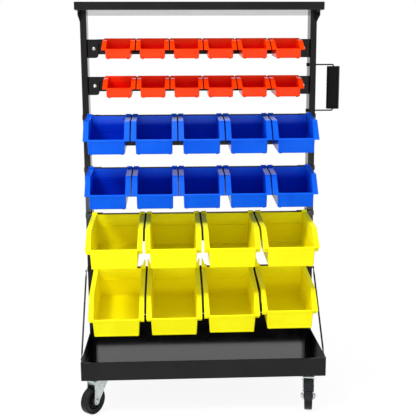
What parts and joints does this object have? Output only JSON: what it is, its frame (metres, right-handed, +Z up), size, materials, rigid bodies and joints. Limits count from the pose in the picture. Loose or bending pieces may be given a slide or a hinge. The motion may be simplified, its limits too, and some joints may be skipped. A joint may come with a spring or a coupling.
{
  "type": "mobile bin cart",
  "caption": "Steel rack on swivel casters with a top tray, a deep bottom tray and rows of red, blue and yellow hang-on bins that lift off their rails.",
  "frame": {"origin": "on the floor under the middle of the whole cart's bounding box", "axes": "+X along the trays towards the push handle, +Y from the bins' open side to the back, +Z up"},
  "size_m": [0.729, 0.4378, 1.091],
  "materials": {
    "black_paint": "gloss black powder coat on sheet steel",
    "zinc_plate": "bright zinc plate on pressed steel",
    "red_plastic": "moulded polypropylene, satin gloss",
    "blue_plastic": "moulded polypropylene, satin gloss",
    "yellow_plastic": "moulded polypropylene, satin gloss",
    "grey_rubber": "smooth grey thermoplastic rubber",
    "pedal_plastic": "moulded nylon, fine texture",
    "grip_plastic": "moulded black plastic"
  },
  "bodies": {
    "root": {"top_tray": "black_paint", "bottom_tray": "black_paint", "post_left": "black_paint", "post_right": "black_paint", "brace_left": "black_paint", "brace_right": "black_paint", "handle_rod": "black_paint", "red_rail_1": "black_paint", "red_rail_2": "black_paint", "blue_rail_1": "black_paint", "blue_rail_2": "black_paint", "yellow_rail_1": "black_paint", "yellow_rail_2": "black_paint", "caster_plate_front_left": "zinc_plate", "caster_plate_front_right": "zinc_plate", "caster_plate_back_left": "zinc_plate", "caster_plate_back_right": "zinc_plate"},
    "swivel_front_left": {"caster_fork_front_left": "zinc_plate"},
    "swivel_front_right": {"caster_fork_front_right": "zinc_plate"},
    "swivel_back_left": {"caster_fork_back_left": "zinc_plate"},
    "swivel_back_right": {"caster_fork_back_right": "zinc_plate"},
    "wheel_front_left": {"wheel_front_left": "grey_rubber"},
    "wheel_front_right": {"wheel_front_right": "grey_rubber"},
    "wheel_back_left": {"wheel_back_left": "grey_rubber"},
    "wheel_back_right": {"wheel_back_right": "grey_rubber"},
    "brake_front_right": {"brake_pedal_front_right": "pedal_plastic"},
    "brake_back_right": {"brake_pedal_back_right": "pedal_plastic"},
    "grip": {"handle_grip": "grip_plastic"},
    "red_bin_1_1": {"red_bin_1_1": "red_plastic"},
    "red_bin_1_2": {"red_bin_1_2": "red_plastic"},
    "red_bin_1_3": {"red_bin_1_3": "red_plastic"},
    "red_bin_1_4": {"red_bin_1_4": "red_plastic"},
    "red_bin_1_5": {"red_bin_1_5": "red_plastic"},
    "red_bin_1_6": {"red_bin_1_6": "red_plastic"},
    "red_bin_2_1": {"red_bin_2_1": "red_plastic"},
    "red_bin_2_2": {"red_bin_2_2": "red_plastic"},
    "red_bin_2_3": {"red_bin_2_3": "red_plastic"},
    "red_bin_2_4": {"red_bin_2_4": "red_plastic"},
    "red_bin_2_5": {"red_bin_2_5": "red_plastic"},
    "red_bin_2_6": {"red_bin_2_6": "red_plastic"},
    "blue_bin_1_1": {"blue_bin_1_1": "blue_plastic"},
    "blue_bin_1_2": {"blue_bin_1_2": "blue_plastic"},
    "blue_bin_1_3": {"blue_bin_1_3": "blue_plastic"},
    "blue_bin_1_4": {"blue_bin_1_4": "blue_plastic"},
    "blue_bin_1_5": {"blue_bin_1_5": "blue_plastic"},
    "blue_bin_2_1": {"blue_bin_2_1": "blue_plastic"},
    "blue_bin_2_2": {"blue_bin_2_2": "blue_plastic"},
    "blue_bin_2_3": {"blue_bin_2_3": "blue_plastic"},
    "blue_bin_2_4": {"blue_bin_2_4": "blue_plastic"},
    "blue_bin_2_5": {"blue_bin_2_5": "blue_plastic"},
    "yellow_bin_1_1": {"yellow_bin_1_1": "yellow_plastic"},
    "yellow_bin_1_2": {"yellow_bin_1_2": "yellow_plastic"},
    "yellow_bin_1_3": {"yellow_bin_1_3": "yellow_plastic"},
    "yellow_bin_1_4": {"yellow_bin_1_4": "yellow_plastic"},
    "yellow_bin_2_1": {"yellow_bin_2_1": "yellow_plastic"},
    "yellow_bin_2_2": {"yellow_bin_2_2": "yellow_plastic"},
    "yellow_bin_2_3": {"yellow_bin_2_3": "yellow_plastic"},
    "yellow_bin_2_4": {"yellow_bin_2_4": "yellow_plastic"}
  },
  "joints": [
    {"name": "swivel_front_left", "type": "hinge", "parent": "root", "child": "swivel_front_left", "pos_m": [-0.3202, -0.15572, 0.097], "axis": [0, 0, 1], "continuous": true},
    {"name": "swivel_front_right", "type": "hinge", "parent": "root", "child": "swivel_front_right", "pos_m": [0.2558, -0.15572, 0.097], "axis": [0, 0, 1], "continuous": true},
    {"name": "swivel_back_left", "type": "hinge", "parent": "root", "child": "swivel_back_left", "pos_m": [-0.3202, 0.15628, 0.097], "axis": [0, 0, 1], "continuous": true},
    {"name": "swivel_back_right", "type": "hinge", "parent": "root", "child": "swivel_back_right", "pos_m": [0.2558, 0.15628, 0.097], "axis": [0, 0, 1], "continuous": true},
    {"name": "wheel_spin_front_left", "type": "hinge", "parent": "swivel_front_left", "child": "wheel_front_left", "pos_m": [-0.33252, -0.17148, 0.0375], "axis": [0.788, -0.6157, 0], "continuous": true},
    {"name": "wheel_spin_front_right", "type": "hinge", "parent": "swivel_front_right", "child": "wheel_front_right", "pos_m": [0.25267, -0.17547, 0.0375], "axis": [0.9877, -0.1564, 0], "continuous": true},
    {"name": "wheel_spin_back_left", "type": "hinge", "parent": "swivel_back_left", "child": "wheel_back_left", "pos_m": [-0.3202, 0.17628, 0.0375], "axis": [1, 0, 0], "continuous": true},
    {"name": "wheel_spin_back_right", "type": "hinge", "parent": "swivel_back_right", "child": "wheel_back_right", "pos_m": [0.2558, 0.17628, 0.0375], "axis": [1, 0, 0], "continuous": true},
    {"name": "brake_lift_front_right", "type": "hinge", "parent": "swivel_front_right", "child": "brake_front_right", "pos_m": [0.25314, -0.17251, 0.082], "axis": [-0.9877, 0.1564, 0], "range_deg": [0, 20]},
    {"name": "brake_lift_back_right", "type": "hinge", "parent": "swivel_back_right", "child": "brake_back_right", "pos_m": [0.2558, 0.17328, 0.082], "axis": [1, 0, 0], "range_deg": [0, 20]},
    {"name": "grip_spin", "type": "hinge", "parent": "root", "child": "grip", "pos_m": [0.346, 0.04628, 0.86396], "axis": [0, 0, 1], "continuous": true},
    {"name": "red_bin_1_1_lift", "type": "slide", "parent": "root", "child": "red_bin_1_1", "axis": [0, -0.0785, 0.9969], "range_m": [0, 0.0095]},
    {"name": "red_bin_1_2_lift", "type": "slide", "parent": "root", "child": "red_bin_1_2", "axis": [0, -0.0785, 0.9969], "range_m": [0, 0.0095]},
    {"name": "red_bin_1_3_lift", "type": "slide", "parent": "root", "child": "red_bin_1_3", "axis": [0, -0.0785, 0.9969], "range_m": [0, 0.0095]},
    {"name": "red_bin_1_4_lift", "type": "slide", "parent": "root", "child": "red_bin_1_4", "axis": [0, -0.0785, 0.9969], "range_m": [0, 0.0095]},
    {"name": "red_bin_1_5_lift", "type": "slide", "parent": "root", "child": "red_bin_1_5", "axis": [0, -0.0785, 0.9969], "range_m": [0, 0.0095]},
    {"name": "red_bin_1_6_lift", "type": "slide", "parent": "root", "child": "red_bin_1_6", "axis": [0, -0.0785, 0.9969], "range_m": [0, 0.0095]},
    {"name": "red_bin_2_1_lift", "type": "slide", "parent": "root", "child": "red_bin_2_1", "axis": [0, -0.0785, 0.9969], "range_m": [0, 0.0095]},
    {"name": "red_bin_2_2_lift", "type": "slide", "parent": "root", "child": "red_bin_2_2", "axis": [0, -0.0785, 0.9969], "range_m": [0, 0.0095]},
    {"name": "red_bin_2_3_lift", "type": "slide", "parent": "root", "child": "red_bin_2_3", "axis": [0, -0.0785, 0.9969], "range_m": [0, 0.0095]},
    {"name": "red_bin_2_4_lift", "type": "slide", "parent": "root", "child": "red_bin_2_4", "axis": [0, -0.0785, 0.9969], "range_m": [0, 0.0095]},
    {"name": "red_bin_2_5_lift", "type": "slide", "parent": "root", "child": "red_bin_2_5", "axis": [0, -0.0785, 0.9969], "range_m": [0, 0.0095]},
    {"name": "red_bin_2_6_lift", "type": "slide", "parent": "root", "child": "red_bin_2_6", "axis": [0, -0.0785, 0.9969], "range_m": [0, 0.0095]},
    {"name": "blue_bin_1_1_lift", "type": "slide", "parent": "root", "child": "blue_bin_1_1", "axis": [0, -0.0958, 0.9954], "range_m": [0, 0.0095]},
    {"name": "blue_bin_1_2_lift", "type": "slide", "parent": "root", "child": "blue_bin_1_2", "axis": [0, -0.0958, 0.9954], "range_m": [0, 0.0095]},
    {"name": "blue_bin_1_3_lift", "type": "slide", "parent": "root", "child": "blue_bin_1_3", "axis": [0, -0.0958, 0.9954], "range_m": [0, 0.0095]},
    {"name": "blue_bin_1_4_lift", "type": "slide", "parent": "root", "child": "blue_bin_1_4", "axis": [0, -0.0958, 0.9954], "range_m": [0, 0.0095]},
    {"name": "blue_bin_1_5_lift", "type": "slide", "parent": "root", "child": "blue_bin_1_5", "axis": [0, -0.0958, 0.9954], "range_m": [0, 0.0095]},
    {"name": "blue_bin_2_1_lift", "type": "slide", "parent": "root", "child": "blue_bin_2_1", "axis": [0, -0.0958, 0.9954], "range_m": [0, 0.0095]},
    {"name": "blue_bin_2_2_lift", "type": "slide", "parent": "root", "child": "blue_bin_2_2", "axis": [0, -0.0958, 0.9954], "range_m": [0, 0.0095]},
    {"name": "blue_bin_2_3_lift", "type": "slide", "parent": "root", "child": "blue_bin_2_3", "axis": [0, -0.0958, 0.9954], "range_m": [0, 0.0095]},
    {"name": "blue_bin_2_4_lift", "type": "slide", "parent": "root", "child": "blue_bin_2_4", "axis": [0, -0.0958, 0.9954], "range_m": [0, 0.0095]},
    {"name": "blue_bin_2_5_lift", "type": "slide", "parent": "root", "child": "blue_bin_2_5", "axis": [0, -0.0958, 0.9954], "range_m": [0, 0.0095]},
    {"name": "yellow_bin_1_1_lift", "type": "slide", "parent": "root", "child": "yellow_bin_1_1", "axis": [0, -0.0785, 0.9969], "range_m": [0, 0.0095]},
    {"name": "yellow_bin_1_2_lift", "type": "slide", "parent": "root", "child": "yellow_bin_1_2", "axis": [0, -0.0785, 0.9969], "range_m": [0, 0.0095]},
    {"name": "yellow_bin_1_3_lift", "type": "slide", "parent": "root", "child": "yellow_bin_1_3", "axis": [0, -0.0785, 0.9969], "range_m": [0, 0.0095]},
    {"name": "yellow_bin_1_4_lift", "type": "slide", "parent": "root", "child": "yellow_bin_1_4", "axis": [0, -0.0785, 0.9969], "range_m": [0, 0.0095]},
    {"name": "yellow_bin_2_1_lift", "type": "slide", "parent": "root", "child": "yellow_bin_2_1", "axis": [0, -0.2504, 0.9681], "range_m": [0, 0.0095]},
    {"name": "yellow_bin_2_2_lift", "type": "slide", "parent": "root", "child": "yellow_bin_2_2", "axis": [0, -0.2419, 0.9703], "range_m": [0, 0.0095]},
    {"name": "yellow_bin_2_3_lift", "type": "slide", "parent": "root", "child": "yellow_bin_2_3", "axis": [0, -0.2113, 0.9774], "range_m": [0, 0.0095]},
    {"name": "yellow_bin_2_4_lift", "type": "slide", "parent": "root", "child": "yellow_bin_2_4", "axis": [0, -0.1582, 0.9874], "range_m": [0, 0.0095]}
  ]
}
